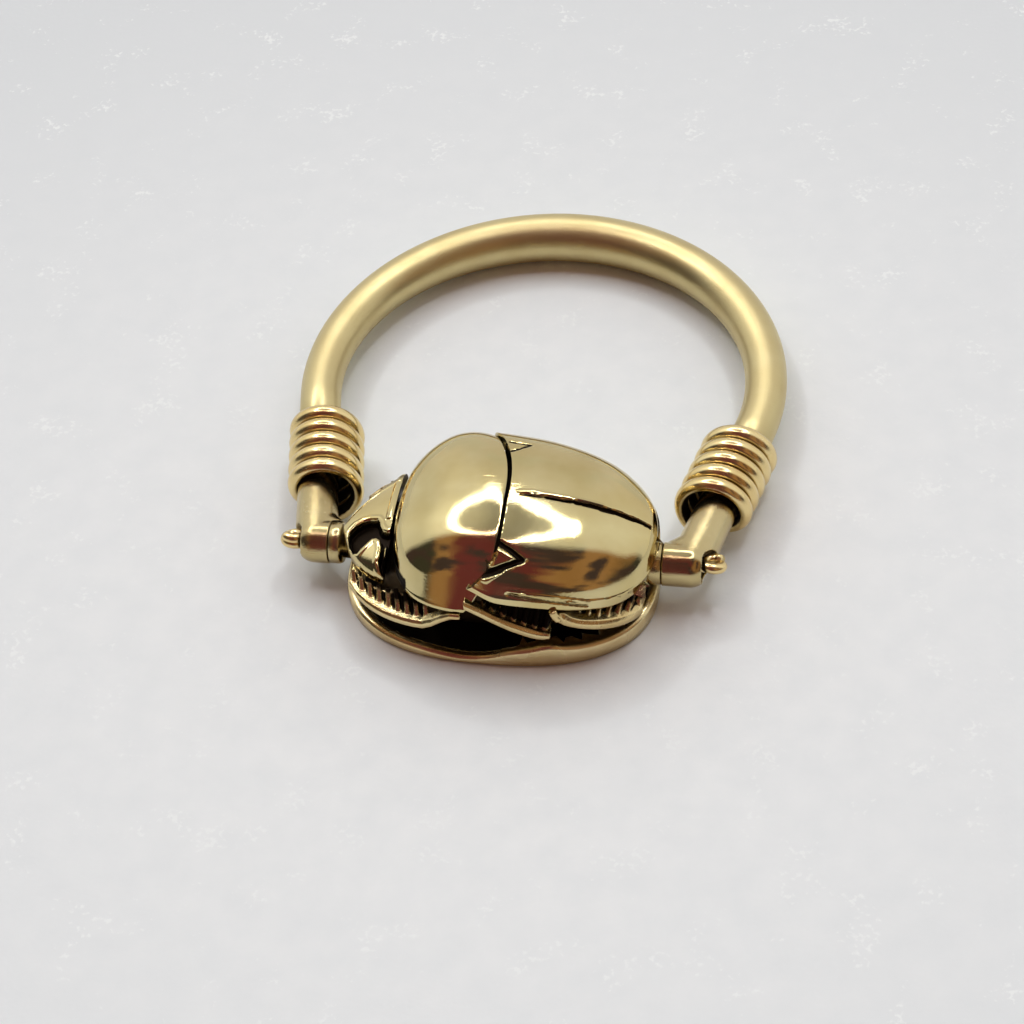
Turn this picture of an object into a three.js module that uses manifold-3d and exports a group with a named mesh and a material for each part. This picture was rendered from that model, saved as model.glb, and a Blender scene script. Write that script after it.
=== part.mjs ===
// Scarab swivel ring: a scarab that turns over on a wire between the two ends of a finger hoop.
// Millimetres. The origin is on the table under the middle of the pin, which is the middle of the
// scarab's flat underside. +X runs along the pin to the tail, +Y to the back of the hoop, +Z up.
import * as THREE from 'three';
import { mergeVertices } from 'three/addons/utils/BufferGeometryUtils.js';
import Module from 'manifold-3d';

const wasm = await Module();
wasm.setup();

// Hoop
const hoopRadius = 9.55; // centreline of the round part
const hoopSetback = 10.06; // from the pin back to the middle of the round part
const hoopDrift = 0.24; // the round part lies this far towards the tail
const hoopBackDiameter = 2.16;
const hoopEndDiameter = 1.74;
const pinHeight = 1.9; // of the pin above the table, with the scarab lying on its base

// Knuckles
const postRoom = 2.5; // the posts stand this much further apart than the scarab is long
const knuckleDiameter = 1.75;
const postDiameter = 1.64; // where the post goes into its coil
const leftBarrelLength = 0.6; // from the post's axis to the scarab's collar
const rightBarrelLength = 1.04;
const recessDiameter = 1.34; // round the eye of the wire
const recessDepth = 0.65;
const buttGap = 0.05; // between post and hoop, inside the coil

// Coils
const coilWire = 0.37;
const coilTurnGap = 0.41;
const coilTurns = 5.125;
const leftCoilDistance = 4.6; // from the pin along the post to the coil's middle
const rightCoilDistance = 5.0;
const leftCoilShift = 0.32; // the coil hangs this far inwards on its rod
const rightCoilShift = 0.17;
const tableClearance = 0.005; // under the coils, which all but touch the table

// Swivel wire
const wireDiameter = 0.42;
const eyeDiameter = 1.15; // outside
const eyeWire = 0.42;
const eyeReach = 0.92; // from the post's axis out to the middle of the eye
const eyeTurn = THREE.MathUtils.degToRad(25); // how far the eye is turned about the pin
const runningClearance = 0.05; // round the wire, in the knuckles and in the tube
const endPlay = 0.06; // between each knuckle and its collar

// Bearing tube
const tubeDiameter = 1.2;
const collarDiameter = 1.7;
const leftCollarLength = 0.5;
const rightCollarLength = 0.7;
const seatGap = 0.12; // between the pieces of the scarab that sit on each other

// Scarab
const scarabLength = 12.7; // of the base plate
const scarabWidth = 8.5;
const backHeight = 5.72; // of the ridge above the table
const floorThickness = 0.3;
const rimWidth = 0.5;
const headSetback = 0.03; // from the base's end to the tip of the head
const pronotumSetback = 0.1; // from the base's side to the pronotum's
const elytraSetback = 0.13;
const shellWall = 0.55;
const headUnderside = 2.5; // above the table
const seamWidth = 0.2;
const legEndSetback = 0.15; // from the base's end to the legs' outline
const legSideSetback = 0.09;
const legThickness = 0.5;
const ribThickness = 0.19;
const ribReach = 1.02; // from a leg's outer face inwards
const webDepth = 0.3; // from the ribs' tops down to the plate behind them
const webThickness = 0.25;
const sutureWidth = 0.24;
const sutureDepth = 0.2;
const horseshoeWidth = 0.46;

// Facets
const rodSides = 16;
const hoopSteps = 44;
const coilSteps = 24; // in one loop
const coilSides = 6;
const wireSides = 12;
const ovalSteps = 56;
const shellStations = 12;
const shellAcross = 22;
const legStations = 12;

// Exponents of the rounded outlines: 2 is an ellipse, and more is fuller
const baseFullness = 2.45;
const elytraPlanFullness = 2.6;
const pronotumNearFullness = 2.9;
const pronotumFarFullness = 3.4;
const headNearFullness = 1.7;
const headFarFullness = 1.35;
const legFullness = 2.9;
const seamNearFullness = 6;
const seamFarFullness = 2.4;
const elytraSectionFullness = 2.7;
const pronotumSectionFullness = 3.2;
const headSectionFullness = 3;

// Along the scarab, as shares of half its length
const pronotumReachShare = 0.64; // from the middle to its front edge
const seamRidgeShare = 0.085; // the seam's place on the ridge
const seamSweepShare = 0.211; // how far it runs back towards the head at the sides
const coreReachShare = 0.82;
// Across it, as shares of half its width
const headNearShare = 0.59;
const headFarShare = 0.75;
const coreSideShare = 0.66;
const pronotumSwellShare = 0.11; // the far side of the pronotum is widest halfway
const pronotumWaistShare = 0.96; // and narrower at the seam

// Heights along the scarab: place as a share of half its length, height as a share of the ridge's
const ridgeShares = [
  [-0.66, 0.62], [-0.62, 0.73], [-0.56, 0.8], [-0.46, 0.875], [-0.33, 0.945], [-0.18, 0.985],
  [0, 1], [0.17, 0.993], [0.33, 0.965], [0.5, 0.925], [0.62, 0.892], [0.745, 0.842],
  [0.85, 0.778], [0.96, 0.705], [0.99, 0.65], [1.03, 0.53],
];
const elytraLipShares = [
  [-0.3, 0.7], [-0.08, 0.69], [0.11, 0.635], [0.3, 0.6], [0.47, 0.56], [0.66, 0.51], [0.8, 0.465],
  [1.02, 0.43],
];
const pronotumLipShares = [[-0.66, 0.56], [-0.55, 0.53], [-0.4, 0.525], [-0.1, 0.525], [0.2, 0.525]];
const headRidgeShares = [[-1.02, 0.5], [-0.96, 0.535], [-0.85, 0.565], [-0.72, 0.6], [-0.6, 0.63]];
const rimShares = [
  [-1, 0.125], [-0.85, 0.115], [-0.66, 0.095], [-0.43, 0.08], [-0.3, 0.065], [-0.15, 0.056], [0, 0.08],
  [0.14, 0.135], [0.27, 0.165], [0.39, 0.195], [0.52, 0.165], [0.66, 0.15], [0.85, 0.145], [1, 0.15],
];

// Leg bars: place, lower edge and upper edge, as the same shares
const forelegShares = [
  [-0.146, 0.455, 0.52], [-0.215, 0.443, 0.51], [-0.304, 0.369, 0.448], [-0.383, 0.305, 0.385],
  [-0.51, 0.297, 0.376], [-0.665, 0.305, 0.385], [-0.8, 0.325, 0.4], [-0.907, 0.335, 0.405],
];
const midlegShares = [
  [-0.116, 0.564, 0.639], [-0.027, 0.497, 0.582], [0.088, 0.408, 0.493], [0.204, 0.332, 0.422],
  [0.324, 0.278, 0.363], [0.4, 0.293, 0.338],
];
const hindlegShares = [
  [0.456, 0.457, 0.586], [0.491, 0.413, 0.538], [0.566, 0.375, 0.464], [0.707, 0.307, 0.397],
  [0.836, 0.25, 0.334], [0.932, 0.194, 0.269],
];
// Ribs on each leg: how many, and the first and last place
const forelegRibs = { count: 9, fromShare: -0.37, toShare: -0.86 };
const midlegRibs = { count: 7, fromShare: -0.02, toShare: 0.36 };
const hindlegRibs = { count: 7, fromShare: 0.55, toShare: 0.9 };
const ribRiseShare = 0.16; // of the ridge's height, from the bar to the rib's inner top
const ribLeanShare = 0.03; // of half the length, from foot to top
const horseshoeDepthShare = 0.5; // of the head's thickness there
// The horseshoe on the head's near side: shares of half the length and of half the width
const horseshoeShares = [
  [-0.895, -0.27], [-0.925, -0.16], [-0.895, -0.06], [-0.83, -0.02], [-0.755, -0.06], [-0.7, -0.17],
  [-0.682, -0.32], [-0.682, -0.47],
];
const sutureStartShare = 0.05; // of half a turn, for the suture's width at its two ends
const footShare = 0.85; // of the core's width, where the filling of the back comes down on it
const fillingShare = 0.95; // of the reach of pronotum and wing cases

// Colours
const polishedGold = new THREE.MeshStandardMaterial({ color: 0xcdb573, roughness: 0.25, metalness: 1 });
const brushedGold = new THREE.MeshStandardMaterial({ color: 0xc9ad66, roughness: 0.35, metalness: 1 });
const wornGold = new THREE.MeshStandardMaterial({ color: 0xb99a55, roughness: 0.4, metalness: 1 });
const darkGold = new THREE.MeshStandardMaterial({ color: 0x4a3a1e, roughness: 0.6, metalness: 1 });

// What follows from the sizes
const postHalfSpan = (scarabLength + postRoom) / 2;
const halfLength = scarabLength / 2;
const halfWidth = scarabWidth / 2;
const headReach = halfLength - headSetback;
const pronotumReach = pronotumReachShare * halfLength;
const seamRidge = seamRidgeShare * halfLength;
const seamSweep = seamSweepShare * halfLength;
const coreReach = coreReachShare * halfLength;
const coreSide = coreSideShare * halfWidth;
const hoopTilt = Math.asin((pinHeight - hoopBackDiameter / 2) / (hoopSetback + hoopRadius));
const coilPitch = coilWire + coilTurnGap;
const boreRadius = wireDiameter / 2 + runningClearance;
const overrun = knuckleDiameter;
const leastEdge = seatGap / 60; // corners nearer than this become one
const quarterTurn = Math.PI / 2;
const fullTurn = 2 * Math.PI;

// A closed solid from points and triangles. Points that coincide become one point, and the
// triangles that this flattens are dropped.
function closedSolid(points, triangles) {
  const loose = new THREE.BufferGeometry();
  const numbers = points.flatMap((p) => [p.x, p.y, p.z]);
  loose.setAttribute('position', new THREE.Float32BufferAttribute(numbers, 3));
  loose.setIndex(triangles.flat());
  return manifoldOf(loose);
}

function manifoldOf(geometry) {
  const bare = geometry.clone();
  bare.deleteAttribute('normal');
  bare.deleteAttribute('uv');
  const merged = mergeVertices(bare);
  const position = merged.attributes.position.array;
  const index = merged.index.array;
  const kept = [];
  for (let i = 0; i < index.length; i += 3) {
    const [a, b, c] = [index[i], index[i + 1], index[i + 2]];
    if (a !== b && b !== c && c !== a) {
      kept.push([a, b, c]);
    }
  }
  const corner = (n) => new THREE.Vector3().fromArray(position, 3 * n);
  const volume = kept.reduce((sum, [a, b, c]) => sum + corner(a).dot(corner(b).cross(corner(c))), 0);
  const outward = volume < 0 ? kept.map(([a, b, c]) => [a, c, b]) : kept;
  return new wasm.Manifold(new wasm.Mesh({
    numProp: 3,
    vertProperties: Float32Array.from(position),
    triVerts: Uint32Array.from(outward.flat()),
  }));
}

function geometryOf(manifold) {
  const mesh = manifold.asOriginal().simplify(leastEdge).getMesh();
  const geometry = new THREE.BufferGeometry();
  geometry.setAttribute('position', new THREE.BufferAttribute(Float32Array.from(mesh.vertProperties), 3));
  geometry.setIndex(new THREE.BufferAttribute(Uint32Array.from(mesh.triVerts), 1));
  geometry.computeVertexNormals();
  return geometry;
}

// A skin over rings of points, one ring after the other. It is closed by a fan at each end, unless
// the ring there is folded flat, which closes it already.
function ringLoft(rings) {
  const count = rings[0].length;
  const points = rings.flat();
  const triangles = [];
  for (let ring = 0; ring + 1 < rings.length; ring += 1) {
    for (let step = 0; step < count; step += 1) {
      const a = ring * count + step;
      const b = ring * count + ((step + 1) % count);
      triangles.push([a, b, b + count], [a, b + count, a + count]);
    }
  }
  for (const ring of [0, rings.length - 1]) {
    if (rings[ring].every((p) => p.y === 0)) {
      continue;
    }
    const middle = points.length;
    const sum = rings[ring].reduce((total, p) => total.add(p), new THREE.Vector3());
    points.push(sum.divideScalar(count));
    for (let step = 0; step < count; step += 1) {
      const a = ring * count + step;
      const b = ring * count + ((step + 1) % count);
      triangles.push(ring === 0 ? [middle, b, a] : [middle, a, b]);
    }
  }
  return closedSolid(points, triangles);
}

// A round rod through a list of points, with a radius and a side direction at each
function rod(points, radii, sideways, sides) {
  const rings = points.map((point, i) => {
    const before = points[Math.max(i - 1, 0)];
    const after = points[Math.min(i + 1, points.length - 1)];
    const along = new THREE.Vector3().subVectors(after, before).normalize();
    const across = new THREE.Vector3().crossVectors(along, sideways[i]).normalize();
    const square = new THREE.Vector3().crossVectors(across, along);
    return Array.from({ length: sides }, (_, k) => {
      const turn = (fullTurn * k) / sides;
      return point.clone()
        .addScaledVector(square, radii[i] * Math.cos(turn))
        .addScaledVector(across, radii[i] * Math.sin(turn));
    });
  });
  return ringLoft(rings);
}

// A cylinder along X between two places
function barAlongX(from, to, diameter, sides, height = 0) {
  const geometry = new THREE.CylinderGeometry(diameter / 2, diameter / 2, Math.abs(to - from), sides);
  geometry.rotateZ(quarterTurn);
  geometry.translate((from + to) / 2, 0, height);
  return manifoldOf(geometry);
}

// A smooth height through a table of shares, read at a place along X
function heightAlong(shares, column = 1) {
  const points = shares.map((row) => new THREE.Vector2(row[0] * halfLength, row[column] * backHeight));
  const line = new THREE.SplineCurve(points).getPoints(shares.length * legStations);
  const rising = line[0].x < line[line.length - 1].x ? line : line.reverse();
  return (x) => {
    const next = rising.findIndex((p) => p.x >= x);
    if (next <= 0) {
      return next === 0 ? rising[0].y : rising[rising.length - 1].y;
    }
    const [low, high] = [rising[next - 1], rising[next]];
    return low.y + ((high.y - low.y) * (x - low.x)) / Math.max(high.x - low.x, Number.EPSILON);
  };
}

const rounded = (share, fullness) => (1 - Math.min(Math.abs(share), 1) ** fullness) ** (1 / fullness);
const signedPower = (value, power) => Math.sign(value) * Math.abs(value) ** power;

// Half the width of the leg bars' outline at a place along X
const legHalfWidth = (x, inset = 0) => (
  (halfWidth - legSideSetback - inset) * rounded(x / (halfLength - legEndSetback - inset), legFullness)
);

// Sides of the ring: where each post meets the round part, and the post's direction
function postLine(side) {
  const corner = new THREE.Vector3(side * postHalfSpan, 0, 0);
  const middle = new THREE.Vector3(hoopDrift, hoopSetback, 0);
  const reach = new THREE.Vector3().subVectors(corner, middle);
  const open = Math.acos(hoopRadius / reach.length());
  const turn = Math.atan2(reach.y, reach.x) + side * open;
  const spoke = new THREE.Vector3(Math.cos(turn), Math.sin(turn), 0);
  const tangent = spoke.multiplyScalar(hoopRadius).add(middle);
  const direction = new THREE.Vector3().subVectors(tangent, corner).normalize();
  const inwards = new THREE.Vector3(-side * direction.y, side * direction.x, 0);
  return { corner, middle, turn, tangent, direction, inwards };
}

const leftPost = postLine(-1);
const rightPost = postLine(1);
const upright = new THREE.Vector3(0, 0, 1);

// The round rod, thickest at the back, with straight ends that stop inside the coils
function hoop() {
  const fromTurn = leftPost.turn + fullTurn;
  const toTurn = rightPost.turn;
  const points = [];
  const radii = [];
  const endRadius = hoopEndDiameter / 2;
  const backRadius = hoopBackDiameter / 2;
  points.push(leftPost.corner.clone().addScaledVector(leftPost.direction, leftCoilDistance));
  radii.push(endRadius);
  for (let step = 0; step <= hoopSteps; step += 1) {
    const share = step / hoopSteps;
    const turn = fromTurn + (toTurn - fromTurn) * share;
    const spoke = new THREE.Vector3(Math.cos(turn), Math.sin(turn), 0);
    points.push(spoke.multiplyScalar(hoopRadius).add(leftPost.middle));
    radii.push(endRadius + (backRadius - endRadius) * Math.sin(Math.PI * share) ** 2);
  }
  points.push(rightPost.corner.clone().addScaledVector(rightPost.direction, rightCoilDistance));
  radii.push(endRadius);
  return rod(points, radii, points.map(() => upright), rodSides);
}

// A post that comes out of its coil, a rounded elbow and a short barrel towards the scarab
function knuckle(side, post, coilDistance, barrelLength) {
  const radius = knuckleDiameter / 2;
  const top = post.corner.clone().addScaledVector(post.direction, coilDistance - buttGap);
  const neck = post.corner.clone().addScaledVector(post.direction, knuckleDiameter);
  const postRod = rod([post.corner, neck, top], [radius, radius, postDiameter / 2],
    [upright, upright, upright], rodSides);
  const elbow = new THREE.SphereGeometry(radius, rodSides, rodSides / 2);
  elbow.translate(post.corner.x, post.corner.y, post.corner.z);
  const barrel = barAlongX(post.corner.x, post.corner.x - side * barrelLength, knuckleDiameter, rodSides);
  const bore = barAlongX(post.corner.x - side * (barrelLength + overrun), post.corner.x + side * overrun,
    2 * boreRadius, rodSides);
  const recess = barAlongX(post.corner.x + side * (radius - recessDepth), post.corner.x + side * overrun,
    recessDiameter, rodSides);
  const face = post.corner.x - side * barrelLength;
  const facing = barAlongX(face, face - side * overrun, collarDiameter + 4 * runningClearance, rodSides);
  return postRod.add(manifoldOf(elbow)).add(barrel).subtract(bore).subtract(recess).subtract(facing);
}

// The wire wound round the rod. It is one unbroken tube whose two ends run straight for one
// diameter. The coils are as thick as lets them rest on the table beside the scarab.
const farCoilDistance = Math.max(
  leftCoilDistance * leftPost.direction.y,
  rightCoilDistance * rightPost.direction.y,
);
const coilLength = coilPitch * coilTurns + coilWire;
const coilEndDrop = (farCoilDistance + coilLength / 2) * Math.sin(hoopTilt);
const coilOuterRadius = pinHeight - coilEndDrop - tableClearance;
const coilLineRadius = coilOuterRadius - coilWire / 2;

function coilLine(post, distance, shift, hand) {
  const middle = post.corner.clone()
    .addScaledVector(post.direction, distance)
    .addScaledVector(post.inwards, shift);
  const steps = Math.round(coilTurns * coilSteps);
  const points = [];
  const radial = [];
  for (let step = 0; step <= steps; step += 1) {
    const turn = hand * fullTurn * (step / coilSteps - coilTurns / 2);
    const outward = new THREE.Vector3().addScaledVector(upright, Math.cos(turn))
      .addScaledVector(post.inwards, Math.sin(turn));
    radial.push(outward);
    points.push(middle.clone().addScaledVector(outward, coilLineRadius)
      .addScaledVector(post.direction, coilPitch * (step / coilSteps - coilTurns / 2)));
  }
  const start = new THREE.Vector3().subVectors(points[0], points[1]).setLength(coilWire);
  const finish = new THREE.Vector3().subVectors(points[steps], points[steps - 1]).setLength(coilWire);
  points.unshift(points[0].clone().add(start));
  points.push(points[points.length - 1].clone().add(finish));
  radial.unshift(radial[0]);
  radial.push(radial[radial.length - 1]);
  return { points, radial };
}

// The least gap of a coil to itself, between points that are at least half a loop apart
function leastGap(points) {
  let least = Infinity;
  for (let i = 0; i < points.length; i += 1) {
    for (let j = i + coilSteps / 2; j < points.length; j += 1) {
      least = Math.min(least, points[i].distanceTo(points[j]) - coilWire);
    }
  }
  return least;
}

function coil(name, post, distance, shift, hand) {
  const line = coilLine(post, distance, shift, hand);
  console.log(`${name}: least gap between turns ${leastGap(line.points).toFixed(3)} mm`);
  return rod(line.points, line.points.map(() => coilWire / 2), line.radial, coilSides);
}

// The wire through both knuckles and the scarab, with an eye at each end
function swivelWire() {
  const eyeLineRadius = (eyeDiameter - eyeWire) / 2;
  const eyeMiddle = postHalfSpan + eyeReach;
  const straight = barAlongX(eyeLineRadius - eyeMiddle, eyeMiddle - eyeLineRadius, wireDiameter, wireSides);
  return [-1, 1].reduce((wire, side) => {
    const eye = new THREE.TorusGeometry(eyeLineRadius, eyeWire / 2, wireSides / 2, 2 * wireSides);
    eye.rotateX(-eyeTurn);
    eye.translate(side * eyeMiddle, 0, 0);
    return wire.add(manifoldOf(eye));
  }, straight);
}

// The tube that the wire runs in, with a collar at each end
const tubeLeft = -(postHalfSpan - leftBarrelLength - endPlay);
const tubeRight = postHalfSpan - rightBarrelLength - endPlay;

function bearingTube() {
  const profile = [
    [boreRadius, tubeLeft],
    [collarDiameter / 2, tubeLeft],
    [collarDiameter / 2, tubeLeft + leftCollarLength],
    [tubeDiameter / 2, tubeLeft + leftCollarLength],
    [tubeDiameter / 2, tubeRight - rightCollarLength],
    [collarDiameter / 2, tubeRight - rightCollarLength],
    [collarDiameter / 2, tubeRight],
    [boreRadius, tubeRight],
    [boreRadius, tubeLeft],
  ].map(([radius, place]) => new THREE.Vector2(radius, place));
  const geometry = new THREE.LatheGeometry(profile, rodSides);
  geometry.rotateZ(-quarterTurn);
  return manifoldOf(geometry);
}

// The room that the tube takes in the pieces round it
function tubeRoom() {
  const leftEnd = tubeLeft + leftCollarLength + seatGap;
  const rightEnd = tubeRight - rightCollarLength - seatGap;
  const collarRoom = collarDiameter + 2 * seatGap;
  const left = barAlongX(tubeLeft - overrun, leftEnd, collarRoom, rodSides, pinHeight);
  const right = barAlongX(rightEnd, tubeRight + overrun, collarRoom, rodSides, pinHeight);
  const middle = barAlongX(tubeLeft, tubeRight, tubeDiameter + 2 * seatGap, rodSides, pinHeight);
  return middle.add(left).add(right);
}

// One half of the scarab's back, as a point for a share of the way to its tip and for a turn from
// its near lip, a quarter turn down, over the ridge to its far lip
const ridge = heightAlong(ridgeShares);

function roof({
  near, far, middle = 0, reach, side, lip, crest, plan, farPlan = plan, swell = 0, section,
}) {
  return (share, turn, inset = 0) => {
    const x = side * (middle + share * (reach - middle));
    const bulge = 1 + swell * Math.sin(Math.PI * share);
    const nearHalf = (near - inset) * rounded(share, plan);
    const half = turn < 0 ? nearHalf : (far - inset) * rounded(share, farPlan) * bulge;
    const lipHeight = lip(x);
    const rise = Math.max(crest(x) - inset - lipHeight, 0);
    return new THREE.Vector3(
      side * (middle + share * (reach - middle - inset)),
      half * signedPower(Math.sin(turn), 2 / section),
      lipHeight + rise * Math.abs(Math.cos(turn)) ** (2 / section),
    );
  };
}

// The lowest edge of the back above a place along X
const elytraLip = heightAlong(elytraLipShares);
const pronotumLip = heightAlong(pronotumLipShares);

function ceiling(x) {
  if (x < -pronotumReach) {
    return headUnderside;
  }
  return x < seamRidge - seamSweep ? pronotumLip(x) : elytraLip(x);
}

const elytraSide = halfWidth - elytraSetback;
const pronotumSide = halfWidth - pronotumSetback;
const elytraRoof = roof({
  near: elytraSide, far: elytraSide, reach: halfLength, side: 1, lip: elytraLip, crest: ridge,
  plan: elytraPlanFullness, section: elytraSectionFullness,
});
const pronotumRoof = roof({
  near: pronotumSide, far: pronotumSide * pronotumWaistShare, reach: pronotumReach, side: -1,
  lip: pronotumLip, crest: ridge, plan: pronotumNearFullness, farPlan: pronotumFarFullness,
  swell: pronotumSwellShare, section: pronotumSectionFullness,
});
const headCrest = heightAlong(headRidgeShares);
const headRoof = roof({
  near: headNearShare * halfWidth, far: headFarShare * halfWidth, middle: pronotumReach,
  reach: headReach, side: -1, lip: () => headUnderside, crest: headCrest,
  plan: headNearFullness, farPlan: headFarFullness, section: headSectionFullness,
});

// The seam between pronotum and wing cases bends towards the tail on the ridge
function seamPlace(turn, section) {
  const fullness = turn < 0 ? seamNearFullness : seamFarFullness;
  return seamRidge - seamSweep * Math.abs(Math.sin(turn)) ** ((2 * fullness) / section);
}

// Shares from a start to the tip, closer together towards the tip
const shareAt = (start, i) => (
  i === shellStations ? 1 : start + (1 - start) * Math.sin((quarterTurn * i) / shellStations)
);

// A shell under a roof, from a start that may depend on the turn, to the tip
function shell(surface, startShare) {
  const grid = (inset) => Array.from({ length: shellStations + 1 }, (_, i) => (
    Array.from({ length: shellAcross + 1 }, (_, k) => {
      const turn = Math.PI * (k / shellAcross) - quarterTurn;
      return surface(shareAt(startShare(turn), i), turn, inset);
    })
  ));
  const points = [...grid(0).flat(), ...grid(shellWall).flat()];
  const row = shellAcross + 1;
  const inner = points.length / 2;
  const triangles = [];
  const quad = (a, b, c, d) => triangles.push([a, b, c], [a, c, d]);
  for (let i = 0; i < shellStations; i += 1) {
    const here = i * row;
    const next = here + row;
    for (let k = 0; k < shellAcross; k += 1) {
      quad(here + k, here + k + 1, next + k + 1, next + k);
      quad(inner + here + k, inner + next + k, inner + next + k + 1, inner + here + k + 1);
    }
    quad(here, next, inner + next, inner + here);
    quad(here + shellAcross, inner + here + shellAcross, inner + next + shellAcross, next + shellAcross);
  }
  for (let k = 0; k < shellAcross; k += 1) {
    quad(k, inner + k, inner + k + 1, k + 1);
  }
  return closedSolid(points, triangles);
}

// A solid under a roof, from one share to another, going down by a drop at a half width of its own
function filled(surface, fromShare, toShare, inset = 0, drop = 0, footHalfWidth = null) {
  return ringLoft(Array.from({ length: shellStations + 1 }, (_, i) => {
    const share = toShare * shareAt(fromShare / toShare, i);
    const section = Array.from({ length: shellAcross + 1 }, (_, k) => (
      surface(share, Math.PI * (k / shellAcross) - quarterTurn, inset)
    ));
    const foot = [section[shellAcross], section[0]].map((lip, k) => {
      const lipHalf = Math.abs(lip.y);
      const half = footHalfWidth === null ? lipHalf : Math.min(footHalfWidth(lip.x), lipHalf);
      return new THREE.Vector3(lip.x, k === 0 ? half : -half, lip.z - drop);
    });
    return [...section, ...foot];
  }));
}

// An upright oval block between two heights
function ovalBlock(length, width, low, high, middle = 0) {
  const ring = (z) => Array.from({ length: ovalSteps / 2 }, (_, i) => {
    const turn = (fullTurn * i) / (ovalSteps / 2);
    return new THREE.Vector3(
      middle + (length / 2) * signedPower(Math.cos(turn), 2 / baseFullness),
      (width / 2) * signedPower(Math.sin(turn), 2 / baseFullness),
      z,
    );
  });
  return ringLoft([ring(low), ring(high)]);
}

// The dish that the scarab lies on: a flat floor and a rim of uneven height
function basePlate() {
  const rim = heightAlong(rimShares);
  const oval = (inset, height) => Array.from({ length: ovalSteps }, (_, i) => {
    const turn = (fullTurn * i) / ovalSteps;
    const x = halfLength * signedPower(Math.cos(turn), 2 / baseFullness);
    const y = halfWidth * signedPower(Math.sin(turn), 2 / baseFullness);
    return new THREE.Vector3(x * (1 - inset / halfLength), y * (1 - inset / halfWidth), height(x));
  });
  const floor = () => floorThickness;
  return ringLoft([
    oval(0, () => 0),
    oval(0, (x) => rim(x)),
    oval(rimWidth / 2, (x) => Math.max(rim(x), floorThickness) + rimWidth / 8),
    oval(rimWidth, (x) => Math.max(rim(x) - rimWidth / 4, floorThickness)),
    oval(rimWidth + rimWidth / 4, floor),
  ]).subtract(tubeRoom());
}

// The core: a body that the tube runs through, filling the back, with a foot at each end that
// stands on the floor of the base plate
const coreLow = pinHeight - collarDiameter / 2 - 2 * seatGap;
const coreHalfWidth = (x) => (
  Math.min(coreSide * rounded(x / coreReach, baseFullness), legHalfWidth(x, legThickness) - seatGap)
);

function underbody() {
  const inset = shellWall + 1.5 * seatGap;
  const foot = (x) => footShare * coreHalfWidth(x);
  const backShare = (seamRidge - seamSweep - seamWidth) / halfLength;
  const frontShare = (seamSweep - seamRidge) / pronotumReach;
  const back = filled(elytraRoof, backShare, fillingShare, inset, 3 * seatGap, foot);
  const front = filled(pronotumRoof, frontShare, fillingShare, inset, 3 * seatGap, foot);
  const stations = [...Array(4 * legStations + 1).keys()].map((i) => (
    -coreReach * Math.cos((Math.PI * i) / (4 * legStations))
  ));
  const edges = [-pronotumReach - seamWidth, -pronotumReach + seamWidth];
  const places = [...stations.filter((x) => x < edges[0] || x > edges[1]), ...edges].sort((a, b) => a - b);
  const core = ringLoft(places.map((x) => {
    const half = coreHalfWidth(x);
    return [[-half, coreLow], [half, coreLow], [half, ceiling(x) - seatGap], [-half, ceiling(x) - seatGap]]
      .map(([y, z]) => new THREE.Vector3(x, y, z));
  }));
  const footLength = coreReach / 4;
  const footWidth = (2 * coreSide) / 3;
  const footLow = floorThickness + seatGap;
  const feet = [-1, 1].map((side) => (
    ovalBlock(footLength, footWidth, footLow, coreLow + seatGap, side * (coreReach - footLength))
  ));
  return core.add(back).add(front).add(feet[0]).add(feet[1]).subtract(tubeRoom());
}

// Half the width of the head at a place along X, on its near or far side
function headSide(side, x) {
  const share = (-x - pronotumReach) / (headReach - pronotumReach);
  if (share < 0) {
    return 0;
  }
  const [widthShare, plan] = side < 0 ? [headNearShare, headNearFullness] : [headFarShare, headFarFullness];
  return widthShare * halfWidth * rounded(share, plan);
}

// Height of the head's surface above a place on its near side
function headHeight(x, y) {
  const drop = rounded(y / headSide(-1, x), headSectionFullness);
  return headUnderside + (headCrest(x) - headUnderside) * drop;
}

// The head, with the horseshoe recess round the wedge on its near side. The recess leaves a floor
// over the room of the tube.
function head() {
  const block = filled(headRoof, seamWidth / (headReach - pronotumReach), 1);
  const floor = Math.max(headUnderside, pinHeight + tubeDiameter / 2 + seatGap);
  const line = new THREE.CatmullRomCurve3(horseshoeShares.map(([along, across]) => {
    const [x, y] = [along * halfLength, across * halfWidth];
    const height = headHeight(x, y);
    return new THREE.Vector3(x, y, height + horseshoeWidth / 2 - horseshoeDepthShare * (height - floor));
  })).getPoints(2 * legStations);
  const groove = rod(line, line.map(() => horseshoeWidth / 2), line.map(() => upright), rodSides / 2);
  return block.subtract(groove).subtract(tubeRoom());
}

function pronotum() {
  const start = (turn) => (-seamPlace(turn, pronotumSectionFullness) + seamWidth / 2) / pronotumReach;
  return shell(pronotumRoof, start).subtract(tubeRoom());
}

// The wing cases, one shell with the suture cut along the ridge
function elytra() {
  const start = (turn) => (seamPlace(turn, elytraSectionFullness) + seamWidth / 2) / halfLength;
  const from = seamRidge + seamWidth;
  const to = halfLength - shellWall / 2;
  const suture = ringLoft(Array.from({ length: legStations + 1 }, (_, i) => {
    const share = i / legStations;
    const x = from + (to - from) * share;
    const swell = Math.sin(Math.PI * (sutureStartShare + (1 - 2 * sutureStartShare) * share));
    const half = (sutureWidth / 2) * swell;
    const top = ridge(x) + sutureDepth;
    return [
      new THREE.Vector3(x, -2 * half, top),
      new THREE.Vector3(x, 2 * half, top),
      new THREE.Vector3(x, 0, ridge(x) - sutureDepth * swell),
    ];
  }));
  return shell(elytraRoof, start).subtract(suture).subtract(tubeRoom());
}

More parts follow.
